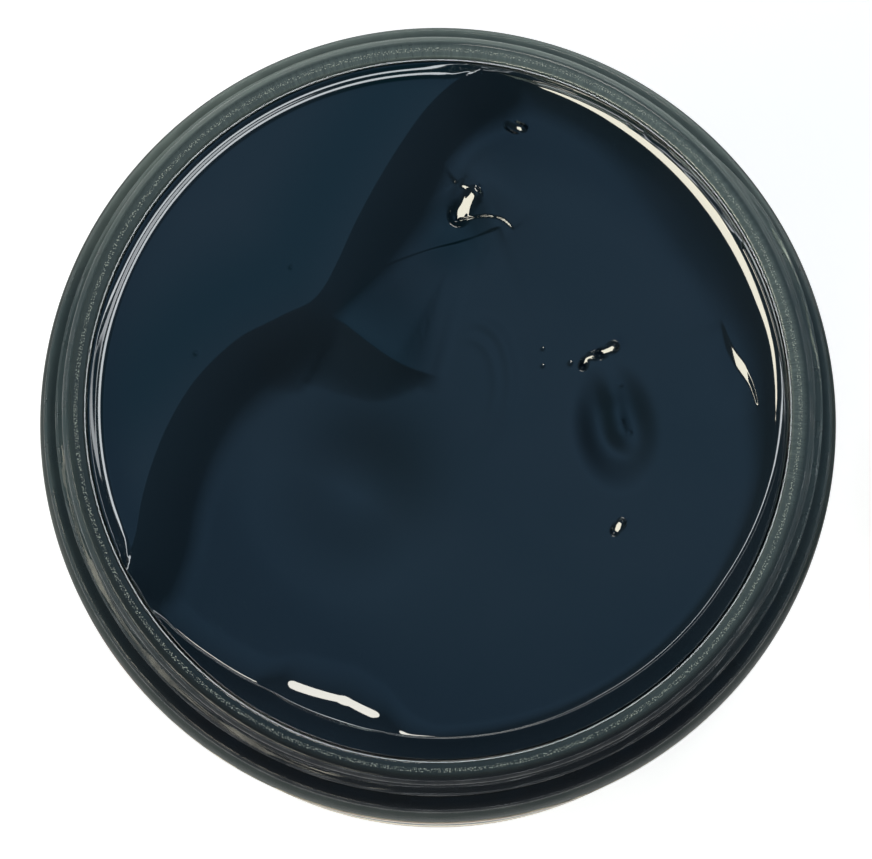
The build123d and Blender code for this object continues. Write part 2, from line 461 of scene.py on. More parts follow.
petFinish = dict(
    cast="#a9b6ae",  # faint grey-green
    ior=1.6,
    polish=0.02,  # roughness between the hairline scratches
    hairlines=0.3,  # per mm
    haze="#7f8b87",
    lipHaze=0.36,  # share of haze on the rubbed lip
    rubbedFrom=0.35,  # mm below the lip
    rubbedTo=0.02,
    litHazeWay=(0.6, 0.8, 0.0),  # painted light: the haze's share grows this way, brighter at the back right, over this many mm each side of the axis
    litHazeSpan=42.0,
    litHazeLeast=0.25,
    litHazeMost=1.75,
    shadeFilmFront="#23262a",  # painted shade: the outside's matte film, darkest in front
    shadeFilmSide="#3c4749",
    # painted light: the film's paler colour at the back
    shadeFilmLitBack="#727b75",
    shadeFilmShare=0.93,
    wornShare=0.7,
    frontSpan=(-36.0, -8.0),  # mm towards the back, over which front turns to side and side to back
    backSpan=(12.0, 38.0),
    shadeFilmFrom=41.8,  # radii between which the painted shade film sets in, and those for its paler painted light colour at the back
    shadeFilmTo=42.5,
    backFrom=42.2,
    backTo=42.7,
    tucked=2.0,  # mm below the label's top that the painted shade film and coat reach
    crumbs="#bcc0b4",  # dried dust and flakes caught on the lip's outer edge
    crumbSize=0.16,  # mm
    crumbFrom=41.3,
    crumbTo=41.75,
    scratchSpacing=0.36,  # mm, drawn coarser than real so that they show
    scratchLength=4.0,
    scratchDepth=0.05,
    shadeCoat="#2a3130",  # painted shade: a dark coat over the shoulder
    shadeCoatShare=0.8,
    shadeCoatFrom=0.25,  # mm below the ledge's top
    shadeCoatTo=1.6,
    shadeCoatIn=0.5,  # mm inside the ledge's edge
    stain="#6f574f",  # print rubbed off the label's edge, on the left side
    stainSpan=(0.7, 0.8),  # shares of the body's radius to the left, over which it sets in
    stainTop=3.8,  # mm above the shoulder's start
    stainFull=2.4,
)


def makePetMaterial():
    # moulded PET: clear and glossy with a grey-green cast; the lip is rubbed hazy, the shoulder is smudged
    s = petFinish
    material, tree = newMaterial("PET moulded clear")
    place, parts, radius = roundPlace(tree)
    angle = addNode(tree, "Math", {"operation": "ARCTAN2"}, {0: parts["Y"], 1: parts["X"]})
    # scratches run in and out across the lip, as from a scraped palette knife
    along = addNode(tree, "Math",
                    {"operation": "MULTIPLY", 1: jarShape["boreRadius"] / s["scratchSpacing"]}, {0: angle})
    across = addNode(tree, "Math", {"operation": "MULTIPLY", 1: 1 / (s["scratchLength"] * mm)}, {0: radius})
    raked = addNode(tree, "CombineXYZ", links={0: along, 1: across})
    scratch = addNode(tree, "TexNoise", {"Scale": 1.0, "Detail": 4.0, "Roughness": 0.7}, {"Vector": raked})
    hairline = addNode(tree, "TexNoise", {"Scale": s["hairlines"] / mm, "Detail": 4.0}, {"Vector": place})
    rough = addNode(tree, "MapRange", {"To Min": s["polish"] / 2, "To Max": s["polish"] * 2},
                    {"Value": hairline})
    relief = addNode(tree, "Bump", {"Strength": 0.08, "Distance": s["scratchDepth"] * mm},
                     {"Height": scratch})
    clear = addNode(tree, "BsdfPrincipled",
                    {"Base Color": linearColour(s["cast"]), "IOR": s["ior"], "Transmission Weight": 1.0},
                    {"Roughness": rough, "Normal": relief})
    # haze and scratches on the lip; the haze is made thicker at the back right as painted light, which
    # brightens that side
    onLip = addNode(tree, "MapRange",
                    {"From Min": (lipHeight - s["rubbedFrom"]) * mm,
                     "From Max": (lipHeight - s["rubbedTo"]) * mm}, {"Value": parts["Z"]})
    streaks = addNode(tree, "MapRange",
                      {"From Min": 0.42, "From Max": 0.72, "To Min": 0.85, "To Max": 1.25},
                      {"Value": scratch})
    behind = addNode(tree, "VectorMath", {"operation": "DOT_PRODUCT", 1: s["litHazeWay"]}, {0: place})
    # painted light: a share that brightens the haze towards the back right
    paintedLightOnHaze = addNode(tree, "MapRange",
                      {"From Min": -s["litHazeSpan"] * mm, "From Max": s["litHazeSpan"] * mm,
                       "To Min": s["litHazeLeast"], "To Max": s["litHazeMost"]}, {"Value": behind})
    hazeWithPaintedLight = onLip
    for share in (streaks, paintedLightOnHaze):
        hazeWithPaintedLight = addNode(tree, "Math", {"operation": "MULTIPLY"}, {0: hazeWithPaintedLight, 1: share})
    hazeWithPaintedLight = addNode(tree, "Math", {"operation": "MULTIPLY", 1: s["lipHaze"]}, {0: hazeWithPaintedLight})
    film = addNode(tree, "BsdfDiffuse", {"Color": linearColour(s["haze"])})
    shader = addNode(tree, "MixShader", links={0: hazeWithPaintedLight, 1: clear, 2: film})
    # painted shade on the outside: a matte film, darker in front and paler behind, standing in for shade in
    # front and for light behind
    fromFront = addNode(tree, "MapRange",
                        {"From Min": s["frontSpan"][0] * mm, "From Max": s["frontSpan"][1] * mm},
                        {"Value": parts["Y"]})
    atBack = addNode(tree, "MapRange",
                     {"From Min": s["backSpan"][0] * mm, "From Max": s["backSpan"][1] * mm},
                     {"Value": parts["Y"]})
    shadeFilmColour = addNode(tree, "Mix",
                   {"data_type": "RGBA", 6: linearColour(s["shadeFilmFront"]), 7: linearColour(s["shadeFilmSide"])},
                   {0: fromFront})
    outer = addNode(tree, "MapRange", {"From Min": s["backFrom"] * mm, "From Max": s["backTo"] * mm},
                    {"Value": radius})
    atBack = addNode(tree, "Math", {"operation": "MULTIPLY"}, {0: atBack, 1: outer})
    shadeFilmColour = addNode(tree, "Mix", {"data_type": "RGBA", 7: linearColour(s["shadeFilmLitBack"])}, {0: atBack, 6: shadeFilmColour})
    paintedShadeFilm = addNode(tree, "BsdfDiffuse", links={"Color": shadeFilmColour})
    onEdge = addNode(tree, "MapRange", {"From Min": s["shadeFilmFrom"] * mm, "From Max": s["shadeFilmTo"] * mm},
                     {"Value": radius})
    worn = addNode(tree, "MapRange",
                   {"From Min": 0.35, "From Max": 0.7, "To Min": s["shadeFilmShare"], "To Max": s["wornShare"]},
                   {"Value": hairline})
    aboveLabel = addNode(tree, "Math", {"operation": "GREATER_THAN", 1: (panelTop - s["tucked"]) * mm},
                         {0: parts["Z"]})
    normal = addNode(tree, "NewGeometry").outputs["Normal"]
    facing = addNode(tree, "SeparateXYZ", links={0: normal}).outputs["Z"]
    facingUp = addNode(tree, "MapRange", {"From Min": 0.08, "From Max": 0.35, "To Min": 0.35},
                      {"Value": facing})
    shadeFilmCover = onEdge
    for share in (worn, aboveLabel, facingUp):
        shadeFilmCover = addNode(tree, "Math", {"operation": "MULTIPLY"}, {0: shadeFilmCover, 1: share})
    shader = addNode(tree, "MixShader", links={0: shadeFilmCover, 1: shader, 2: paintedShadeFilm})
    # crumbs in a narrow ring at the lip's outer edge
    ringIn = addNode(tree, "Math", {"operation": "GREATER_THAN", 1: s["crumbFrom"] * mm}, {0: radius})
    ringOut = addNode(tree, "Math", {"operation": "LESS_THAN", 1: s["crumbTo"] * mm}, {0: radius})
    grain = addNode(tree, "TexNoise", {"Scale": 1 / (s["crumbSize"] * mm), "Detail": 2.0},
                    {"Vector": place})
    loose = addNode(tree, "MapRange", {"From Min": 0.55, "From Max": 0.63}, {"Value": grain})
    crumbs = ringIn
    for share in (ringOut, loose, onLip):
        crumbs = addNode(tree, "Math", {"operation": "MULTIPLY"}, {0: crumbs, 1: share})
    dust = addNode(tree, "BsdfDiffuse", {"Color": linearColour(s["crumbs"])})
    shader = addNode(tree, "MixShader", links={0: crumbs, 1: shader, 2: dust})
    # painted shade: a dark coat over the shoulder below the ledge, with the label's ink on the left
    onShoulder = addNode(tree, "MapRange",
                         {"From Min": (ledgeTop - s["shadeCoatFrom"]) * mm,
                          "From Max": (ledgeTop - s["shadeCoatTo"]) * mm, "To Max": s["shadeCoatShare"]},
                         {"Value": parts["Z"]})
    outside = addNode(tree, "Math",
                      {"operation": "GREATER_THAN", 1: (jarShape["ledgeRadius"] - s["shadeCoatIn"]) * mm},
                      {0: radius})
    shadeCoatCover = onShoulder
    for share in (aboveLabel, outside):
        shadeCoatCover = addNode(tree, "Math", {"operation": "MULTIPLY"}, {0: shadeCoatCover, 1: share})
    left = addNode(tree, "MapRange",
                   {"From Min": -s["stainSpan"][0] * bodyRadius * mm,
                    "From Max": -s["stainSpan"][1] * bodyRadius * mm}, {"Value": parts["X"]})
    foot = addNode(tree, "MapRange",
                   {"From Min": (shoulderStart + s["stainTop"]) * mm,
                    "From Max": (shoulderStart + s["stainFull"]) * mm}, {"Value": parts["Z"]})
    left = addNode(tree, "Math", {"operation": "MULTIPLY"}, {0: left, 1: foot})
    ink = addNode(tree, "Mix",
                  {"data_type": "RGBA", 6: linearColour(s["shadeCoat"]), 7: linearColour(s["stain"])},
                  {0: left})
    shadeCoat = addNode(tree, "BsdfDiffuse", links={"Color": ink})
    shader = addNode(tree, "MixShader", links={0: shadeCoatCover, 1: shader, 2: shadeCoat})
    finishMaterial(tree, shader)
    return material


def makeJar():
    lip = lipRows()
    rows = innerRows(0, lip[0].y - 0.4) + lip + outerRows()
    bm = spinLine(rows, jarShape["steps"])
    raiseThread(bm)
    bmesh.ops.recalc_face_normals(bm, faces=bm.faces)
    makePiece("jarClear", bm, "jar_body", [makePetMaterial()], ["jar"])


makeJar()

paintShape = dict(
    low=-7.6,  # heights in mm from the lip
    high=-2.4,
    wet=0.03,  # how far the paint reaches into the wall's face, as it wets it
    steps=320,
    wallRing=0.08,  # mm between rings beside the wall
    wallBand=3.2,
    ringGrowth=1.12,
    openRing=0.37,  # mm between rings in the open
    cliffTilt=39.0,  # degrees
    brink=2.6,  # strip beside the cliff that bends down
    brinkDrop=0.12,
    filmReach=1.75,  # how far from the wall the film beside the high paint starts
    filmTop=-0.75,
    foldLift=2.7,  # the fold's height at the cliff's corner, and what stays of it further out
    foldStay=0.8,
    foldBack=7.0,
    hollow=(-9.5, -8.5, -2.2, 8.0),  # x, y, height and half width of the sag in front of the fold
    dimpleX=20.6,
    dimpleY=-1.6,
    dimpleWide=4.9,  # half width and half length
    dimpleLong=7.2,
    dimpleDeep=1.3,
    keelWide=1.5,
    keelHigh=0.85,
    # how the low paint climbs the wall, by direction in degrees: distance from the wall where it turns steep,
    # radius of the sweep up to there, and the steepest slope of that sweep
    climbAngles=[-180, -150, -140, -132, -124, -119, -108, -101, -96, -91,
                 -60, -31, -10, 0, 15, 36, 60, 85, 120, 180],
    climbFoot=[0, 0.5, 0.9, 1.8, 2.5, 2.7, 2.7, 2.7, 2.7, 2.7, 2.5, 1.9, 0.8, 0.4, 0.1, 0, 0, 0, 0, 0],
    climbRadius=[8, 9, 10, 10.5, 10, 10.5, 11, 10, 8, 4, 2.2, 2.6, 4.5, 7, 9, 12, 7, 5, 8, 8],
    climbSlope=[20, 20, 20, 20, 22, 36, 41, 36, 23, 22, 43, 44, 45, 45, 43, 41.5, 41.5, 39, 35, 35],
)

# the cliff between high and low paint, from the back wall to the front left wall
cliffLine = [(5.9, 41.9), (4.9, 40.2), (1.4, 37.8), (-1.5, 34.9), (-4.4, 30.8), (-7.3, 26.0), (-9.6, 21.6),
             (-11.4, 17.6), (-13.1, 14.3), (-14.8, 12.4), (-17.1, 11.3), (-19.5, 10.1), (-22.9, 8.3),
             (-26.0, 5.6), (-28.7, 2.4), (-31.2, -2.0), (-33.0, -6.6), (-34.1, -10.7), (-34.8, -14.7),
             (-36.2, -18.5), (-38.5, -22.0)]
foldLine = [(-15.2, 12.8), (-12.6, 11.2), (-10.8, 10.2), (-7.9, 8.0), (-5.4, 6.3), (-3.3, 5.3), (-0.9, 4.6),
            (2.0, 3.9)]
zigzagTop = [(0.5, 29.2), (1.3, 28.1), (2.2, 26.9)]
zigzagBend = [(2.6, 26.8), (3.5, 26.4), (4.2, 25.9)]
zigzagFoot = [(4.0, 25.5), (3.3, 24.5), (2.6, 23.5)]
tongueBack = [(1.0, 22.9), (3.4, 23.0), (5.6, 23.2), (7.3, 22.9), (8.3, 22.2), (8.9, 21.4)]
tongueFront = [(7.5, 22.0), (6.4, 21.6), (4.3, 20.8), (2.0, 20.1), (-0.7, 19.4), (-3.9, 18.2), (-7.4, 16.6)]
swirlOuter = [(2.2, 9.8), (4.9, 10.6), (7.2, 8.8), (8.3, 5.2), (8.2, 1.8), (6.9, -1.6), (3.6, -6.0)]
dimpleHook = [(16.9, 5.6), (17.2, 6.3), (17.8, 6.7), (18.6, 6.8)]
dimpleCap = [(18.9, 7.0), (19.7, 7.4), (20.4, 7.8)]
eastStreak = [(32.9, 11.2), (33.9, 7.9), (35.2, 5.6), (36.5, 3.2), (37.3, 0.2)]
backRib = [(22.0, 28.7), (24.3, 26.9), (28.4, 22.1), (31.3, 17.4), (33.8, 12.7)]
bubble = [(8.4, 33.9), (9.8, 33.5)]
spot = [(20.6, -13.6), (21.2, -12.8)]
beads = [(12.2, 7.6, 0.14, 0.2), (12.2, 5.6, 0.15, 0.2),
         (15.4, 5.9, 0.2, 0.25), (21.3, 3.4, 0.1, 0.2), (21.4, -0.9, 0.1, 0.2), (22.4, -2.2, 0.1, 0.2),
         (-17.0, 16.5, 0.12, 0.2), (-27.9, 6.5, 0.14, 0.25)]  # x, y, height, half width


def smoothCurve(points, steps=8):
    # a curve through given points
    p = np.array(points, float)
    p = np.vstack([2 * p[0] - p[1], p, 2 * p[-1] - p[-2]])
    t = np.linspace(0, 1, steps, endpoint=False)[:, None]
    spans = []
    for a, b, c, d in zip(p, p[1:], p[2:], p[3:]):
        bend = (2 * a - 5 * b + 4 * c - d) * t**2 + (3 * b - a - 3 * c + d) * t**3
        spans.append(0.5 * (2 * b + (c - a) * t + bend))
    return np.vstack(spans + [p[-2]])


def beside(points, x, y):
    # distance to the left of a curve, the share of the curve passed, and the nearest point on it
    curve = smoothCurve(points)
    best = np.full(x.shape, 1e9)
    side, passed = np.zeros(x.shape), np.zeros(x.shape)
    nearX, nearY = np.zeros(x.shape), np.zeros(x.shape)
    for i, (a, b) in enumerate(zip(curve, curve[1:])):
        way = b - a
        along = np.clip(((x - a[0]) * way[0] + (y - a[1]) * way[1]) / (way @ way), 0, 1)
        px, py = a[0] + along * way[0], a[1] + along * way[1]
        gap = np.hypot(x - px, y - py)
        closer = gap < best
        left = np.sign(way[0] * (y - py) - way[1] * (x - px))
        best = np.where(closer, gap, best)
        side = np.where(closer, left * gap, side)
        passed = np.where(closer, (i + along) / (len(curve) - 1), passed)
        nearX, nearY = np.where(closer, px, nearX), np.where(closer, py, nearY)
    return side, passed, nearX, nearY


def spread(passed, values):
    return np.interp(passed, np.linspace(0, 1, len(values)), values)


def bank(ground, x, y, points, tilt, widths, fade):
    # a small step along a curve, higher on its left; both sides ease back to the ground
    side, passed, _, _ = beside(points, x, y)
    width = spread(passed, widths)
    ends = smoothStep(passed, 0, 0.1) * smoothStep(1 - passed, 0, 0.1)
    ramp = np.clip(side / np.maximum(width, 0.02) + 0.5, 0, 1) - 0.5
    beyond = np.maximum(np.abs(side) - width / 2, 0)
    return ground + math.tan(math.radians(tilt)) * width * ends * ramp * np.exp(-beyond / fade)


def facet(ground, x, y, points, tilt, towards, halfWidths, fade):
    # a strip along a curve that leans down towards one direction, blended into the ground round it
    side, passed, _, _ = beside(points, x, y)
    middle = np.mean(points, axis=0)
    level = ground[np.hypot(x - middle[0], y - middle[1]) < 0.6].mean()
    turn = math.radians(towards)
    away = (x - middle[0]) * math.cos(turn) + (y - middle[1]) * math.sin(turn)
    plane = level - math.tan(math.radians(tilt)) * away
    share = 1 - smoothStep(np.abs(side) - spread(passed, halfWidths), 0, fade)
    return ground + (plane - ground) * share


def ridge(ground, x, y, points, height, widthLeft, widthRight):
    # a rounded rib along a curve, with a half width on each side of it
    side, passed, _, _ = beside(points, x, y)
    width = np.where(side > 0, widthLeft, widthRight)
    ends = smoothStep(passed, 0, 0.3) * smoothStep(1 - passed, 0, 0.3)
    return ground + height * ends * np.exp(-((side / width) ** 2))


def hump(x, y, atX, atY, height, width):
    return height * np.exp(-(((x - atX) ** 2 + (y - atY) ** 2) / width**2))


def riseAlong(distance, stops, angles):
    # height gained over a distance on a slope whose angle in degrees changes from stop to stop
    fine = np.linspace(stops[0], stops[-1], 300)
    slope = np.tan(np.radians(np.interp(fine, stops, angles)))
    rise = np.concatenate([[0], np.cumsum((slope[1:] + slope[:-1]) / 2 * np.diff(fine))])
    return np.interp(distance, fine, rise)


def wallClimb(toWall, around):
    # the low paint's rise beside the wall: a round sweep, then a steep film
    s = paintShape
    foot = np.interp(around, s["climbAngles"], s["climbFoot"])
    radius = np.interp(around, s["climbAngles"], s["climbRadius"])
    steepest = np.sin(np.radians(np.interp(around, s["climbAngles"], s["climbSlope"])))
    turned = np.clip((foot + radius * steepest - toWall) / radius, 0, steepest)
    sweep = radius * (1 - np.sqrt(1 - turned**2))
    film = riseAlong(np.clip(foot - toWall, 0, 3), [0, 0.3, 0.7, 3.0], [43, 50, 57, 57])
    return sweep + film


def swell(ground, x, y, *place):
    return ground + hump(x, y, *place)


def innerSwirl(ground, x, y, points, centreX, centreY, share):
    # the swirl once more, drawn in towards a centre
    x, y = (x - centreX) * share + centreX, (y - centreY) * share + centreY
    return ridge(ground, x, y, points, 0.1, 0.9, 0.7)


def dimple(ground, x, y):
    # a round dent with a keel down its middle
    s = paintShape
    dx, dy = (x - s["dimpleX"]) / s["dimpleWide"], (y - s["dimpleY"]) / s["dimpleLong"]
    bowl = np.hypot(dx + 0.12 * dy, dy)
    keel = np.exp(-(((x - s["dimpleX"] - 0.1 - 0.22 * (0.5 - y)) / s["keelWide"]) ** 2))
    keel = keel * smoothStep(y, -5.4, -1.8) * (1 - smoothStep(y, 1.6, 6.5))
    return ground - s["dimpleDeep"] * (1 - smoothStep(bowl, 0.25, 1.1)) + s["keelHigh"] * keel


# what the stirring left on the low paint, in the order in which one lies over the other
relief = [
    (swell, 5.4, 27.4, 0.7, 4.5),
    (swell, 1.2, 22.0, -0.6, 4.5),
    (swell, 10, 25, 0.3, 6),
    (bank, zigzagTop, 36, [0.3, 0.4, 0.4], 3.0),
    (bank, zigzagBend, 33, [0.35, 0.5, 0.6], 3.0),
    (facet, zigzagFoot, 36, 212, [0.25, 0.35, 0.5], 1.2),
    (bank, tongueBack, 40, [0.2, 0.32, 0.3, 0.3, 0.3, 0.1], 4.0),
    (bank, tongueFront, -40, [0.1, 0.3, 0.12, 0.26, 0.2, 0.16, 0.1], 4.0),
    (ridge, swirlOuter, 0.14, 0.9, 0.7),
    (innerSwirl, swirlOuter, 1.0, 2.0, 1.28),
    (ridge, backRib, 0.06, 1.4, 1.4),
    (bank, eastStreak, 30, [0.15, 0.8, 1.1, 0.5, 0.15], 3.0),
    (dimple,),
    (facet, dimpleHook, 36, 235, [0.05, 0.07, 0.06], 0.6),
    (facet, dimpleCap, 36, 225, [0.08, 0.16, 0.12], 0.7),
    (facet, bubble, 36.7, 222, [0.12, 0.25, 0.12], 0.6),
    (facet, spot, 35.2, 217, [0.15, 0.28, 0.15], 0.6),
]


def lowPaint(x, y, toWall, around):
    low = paintShape["low"] + wallClimb(toWall, around)
    for shape, *values in relief:
        low = shape(low, x, y, *values)
    return low


def paintHeight(x, y):
    s = paintShape
    r = np.hypot(x, y)
    toWall = np.maximum(jarShape["boreRadius"] - r, 0)
    around = np.degrees(np.arctan2(y, x))
    low = lowPaint(x, y, toWall, around)

    # the fold runs out from the cliff's corner: a dark left face and a gentle mound behind it
    side, passed, _, _ = beside(foldLine, x, y)
    lift = s["foldLift"] * (1 - passed) ** 1.3 + s["foldStay"] * (1 - smoothStep(passed, 0.55, 1.0))
    back = np.exp(-((np.maximum(side, 0) / (s["foldBack"] + 2 * passed)) ** 2))
    faceWidth = np.maximum(lift / 0.3, 2.0)
    foot = np.clip(1 + np.minimum(side, 0) / faceWidth, 0, 1) ** 1.5
    low = low + lift * np.where(side > 0, back, foot) * smoothStep(1 - passed, 0.0, 0.15)
    low = low + hump(x, y, *s["hollow"])
    mound = np.where(side > 0, back, 0) * smoothStep(passed, 0.1, 0.3) * smoothStep(1 - passed, 0, 0.4)

    # high paint behind the cliff
    side, passed, _, _ = beside(cliffLine, x, y)
    side = -side
    brink = np.clip(1 - side / s["brink"], 0, 1)
    rim = s["high"] - s["brinkDrop"] * brink**1.3
    edge = s["high"] - s["brinkDrop"]
    drop = np.maximum(edge - low, 0)
    width = drop / (0.75 * math.tan(math.radians(s["cliffTilt"])))
    u = np.clip(-side / np.maximum(width, 0.3), 0, 1)
    fallen = np.where(u < 0.5, u, 0.5 + (u - 0.5) - (u - 0.5) ** 2) / 0.75
    height = np.where(side > 0, rim, np.maximum(low, edge - drop * fallen))

    # a film of paint stands up along the wall beside the high paint; at the back left it levels off again
    up = np.clip(s["filmReach"] - toWall, 0, 1.6)
    levels = riseAlong(up, [0, 0.12, 0.22, 0.72, 0.85, 0.98, 1.42, 1.5, 1.6],
                       [0, 25, 42, 50, 53, 50, 41, 25, 12])
    climbs = riseAlong(up, [0, 0.12, 0.22, 0.82, 1.0, 1.6], [0, 25, 41, 49, 52, 52])
    levelling = smoothStep(np.abs(around), 85, 95) * (1 - smoothStep(np.abs(around), 155, 172)) * (around > 0)
    film = climbs + (levels - climbs) * levelling
    height = height + film * smoothStep(side, -0.4, 1.4)
    height = np.minimum(height, s["filmTop"])

    # painted reflection: a teal tone on the high paint beside the cliff, on the tongue, on the mound and in
    # the dimple, in place of sheen
    sheenBesideCliff = np.exp(-(((side - 5) / 6.5) ** 2)) * (side > 0) * smoothStep(y, -14, 4)
    tongue = hump(x, y, 2.0, 20.5, 1.0, 4.5)
    tealSheenAndBlotch = np.clip(np.maximum.reduce([sheenBesideCliff, tongue, 0.9 * mound, hump(x, y, 21, 0, 0.5, 4)]), 0, 1)
    return height, tealSheenAndBlotch


def pullTowards(points, x, y, width, wallFade):
    # rows of vertices are drawn in towards a crease, so that it stays crisp
    _, _, nearX, nearY = beside(points, x, y)
    gap = np.hypot(x - nearX, y - nearY)
    share = 0.75 * np.exp(-((gap / width) ** 2)) * wallFade
    return x + (nearX - x) * share, y + (nearY - y) * share


def refine(bm, level, isNear, cuts):
    # more vertices where the surface has small features
    verts = [v for v in bm.verts if v.co.z > level]
    near = isNear(np.array([v.co.x for v in verts]), np.array([v.co.y for v in verts]))
    chosen = {v for v, picked in zip(verts, near) if picked}
    edges = [e for e in bm.edges if e.verts[0] in chosen and e.verts[1] in chosen]
    bmesh.ops.subdivide_edges(bm, edges=edges, cuts=cuts, use_grid_fill=True)


def nearCliff(x, y):
    return np.abs(beside(cliffLine, x, y)[0]) < 1.3


def nearFeatures(x, y):
    found = np.zeros(x.shape, bool)
    for line in (zigzagTop, zigzagBend, zigzagFoot, tongueBack, tongueFront, dimpleHook, dimpleCap,
                 eastStreak, bubble, spot):
        found |= np.abs(beside(line, x, y)[0]) < 1.5
    for atX, atY, _, width in beads:
        found |= np.hypot(x - atX, y - atY) < 3 * width + 0.2
    return found


paintFinish = dict(
    navy="#1e272f",
    # the teal painted in as reflected sheen, also used for random blotches
    tealSheenAndBlotch="#081c23",
    ior=1.7,  # a little over a clear binder's, as the pigment lies right under the surface
    roughness=0.035,
    blotchSize=22.0,  # mm
    wetted="#121b1d",
)


def makePaintMaterial():
    # heavy body acrylic: navy pigment in a clear glossy binder, still wet; a teal tone is painted in as
    # reflected sheen, with random teal blotches
    s = paintFinish
    material, tree = newMaterial("acrylic paint wet navy")
    place = addNode(tree, "TexCoord").outputs["Object"]
    blotch = addNode(tree, "TexNoise", {"Scale": 1 / (s["blotchSize"] * mm), "Detail": 3.0},
                     {"Vector": place})
    patches = addNode(tree, "MapRange", {"From Min": 0.35, "From Max": 0.65, "To Max": 0.35},
                      {"Value": blotch})
    # painted reflection: the attribute marks where the teal sheen tone is drawn in
    tealSheenAndBlotch = addNode(tree, "Attribute", {"attribute_name": "tealSheenAndBlotch"}).outputs["Fac"]
    share = addNode(tree, "Math", {"operation": "MAXIMUM"}, {0: tealSheenAndBlotch, 1: patches})
    mixed = addNode(tree, "Mix",
                    {"data_type": "RGBA", 6: linearColour(s["navy"]), 7: linearColour(s["tealSheenAndBlotch"])},
                    {0: share})
    shader = addNode(tree, "BsdfPrincipled", {"IOR": s["ior"], "Roughness": s["roughness"]},
                     {"Base Color": mixed})
    finishMaterial(tree, shader)
    return material


def makeWettedMaterial():
    # the same paint where it wets the clear wall: no air between them, so no gloss of its own
    material, tree = newMaterial("acrylic paint wetting plastic")
    shader = addNode(tree, "BsdfDiffuse", {"Color": linearColour(paintFinish["wetted"])})
    finishMaterial(tree, shader)
    return material


def makePaint():
    s = paintShape
    top = lipHeight + s["low"]
    wall = innerRows(s["wet"], top, longest=3)
    wallRadius = wall[-1].x
    rings = []
    toWall, gap = 0.0, s["wallRing"]
    while toWall + gap < wallRadius - s["openRing"]:
        toWall += gap
        rings.append(Vector((wallRadius - toWall, top)))
        if toWall > s["wallBand"]:
            gap = min(gap * s["ringGrowth"], s["openRing"])
    rings.append(Vector((0, top)))
    bm = spinLine(wall + rings, s["steps"])
    # the teal tone painted in for sheen is stored on the vertices
    layer = bm.verts.layers.float.new("tealSheenAndBlotch")
    level = top - 0.001
    refine(bm, level, nearCliff, 1)
    refine(bm, level, nearFeatures, 2)
    for face in bm.faces:
        face.material_index = 0 if face.calc_center_median().z > level else 1
    surface = [v for v in bm.verts if v.co.z > level]
    x = np.array([v.co.x for v in surface])
    y = np.array([v.co.y for v in surface])
    wallFade = smoothStep(wallRadius - np.hypot(x, y), 0.02, 1.5)
    for line, width in ((cliffLine, 0.8), (foldLine, 0.8)):
        x, y = pullTowards(line, x, y, width, wallFade)
    z, tealSheenAndBlotch = paintHeight(x, y)
    for atX, atY, height, width in beads:
        z = z + hump(x, y, atX, atY, height, width)
    for v, vx, vy, vz, share in zip(surface, x, y, lipHeight + z, tealSheenAndBlotch):
        v.co = (vx, vy, vz)
        v[layer] = share
    materials = [makePaintMaterial(), makeWettedMaterial()]
    makePiece("paintMass", bm, "jar_body", materials, ["paint"])


makePaint()

smearShape = dict(
    # first and last direction in degrees, then the top's depth below the lip and the height, both in mm
    patches=[(28.0, 57.0, 1.2, 5.2), (66.0, 84.0, 0.9, 3.2), (207.0, 216.0, 0.9, 3.0)],
    sunk=0.03,
    thin=0.05,
    thick=0.3,
)


def makeWallSmears():
    # thin irregular films that the stirring left on the wall above the paint
    s = smearShape
    bm = bmesh.new()
    bore = jarShape["boreRadius"]
    for index, (first, last, depth, height) in enumerate(s["patches"]):
        arc = math.radians(last - first) * bore
        part = bmesh.new()
        bmesh.ops.create_grid(part, x_segments=int(arc * 3), y_segments=int(height * 5), size=0.5)
        far = []
        bulge = {}
        for v in part.verts:
            u, w = v.co.x + 0.5, v.co.y + 0.5
            edge = min(u, 1 - u) * arc * 0.3
            rim = min(w, 1 - w) * height * 0.55
            ragged = noise.noise((u * arc * 0.35 + 7 * index, w * 1.6, 3.1)) * 0.9
            body = min(edge, rim) + ragged - 0.15
            if body < 0:
                far.append(v)
            bulge[v] = s["thin"] + s["thick"] * (1 - math.exp(-max(body, 0) * 0.8))
        for v in part.verts:
            u, w = v.co.x + 0.5, v.co.y + 0.5
            around = math.radians(first + (last - first) * u)
            r = bore + s["sunk"] - bulge[v]
            v.co = (r * math.cos(around), r * math.sin(around), lipHeight - depth - height + height * w)
        bmesh.ops.delete(part, geom=far, context="VERTS")
        loose = [v for v in part.verts if not v.link_faces]
        bmesh.ops.delete(part, geom=loose, context="VERTS")
        bmesh.ops.smooth_vert(part, verts=part.verts, factor=0.5,
                              use_axis_x=True, use_axis_y=True, use_axis_z=True)
        bmesh.ops.recalc_face_normals(part, faces=part.faces)
        bmesh.ops.solidify(part, geom=part.faces[:], thickness=s["thin"])
        bmesh.ops.recalc_face_normals(part, faces=part.faces)
        addTo(bm, part)
    makePiece("wallSmears", bm, "jar_body", [makePaintMaterial()], ["wall_smears"])


makeWallSmears()

labelShape = dict(
    sunk=0.01,
    paper=0.2,
    flap=0.1,  # mm, the lap's own thickness over the first turn
    lapAt=183.0,  # degrees
    lapWide=9.0,  # mm
    tear=0.35,  # mm, how far the cut top edge wanders
    steps=288,
)


labelFinish = dict(
    print="#6b4a44",
    paper="#d8cfb6",
    panel="#cfc6ae",
    swatch="#1c2a3c",
    line="#8f6a60",
    fibre=0.5,  # mm
    panelHalf=38.0,  # degrees each side of the front
    panelLow=17.0,  # heights in mm
    panelHigh=58.0,
    lineTurn=1.5,  # degrees and mm that the line shows round the panel
    lineWide=1.2,
    swatchHalf=24.0,
    swatchLow=36.0,
    swatchHigh=52.0,
    rules=(24.0, 28.0),
    ruleHigh=0.8,
)


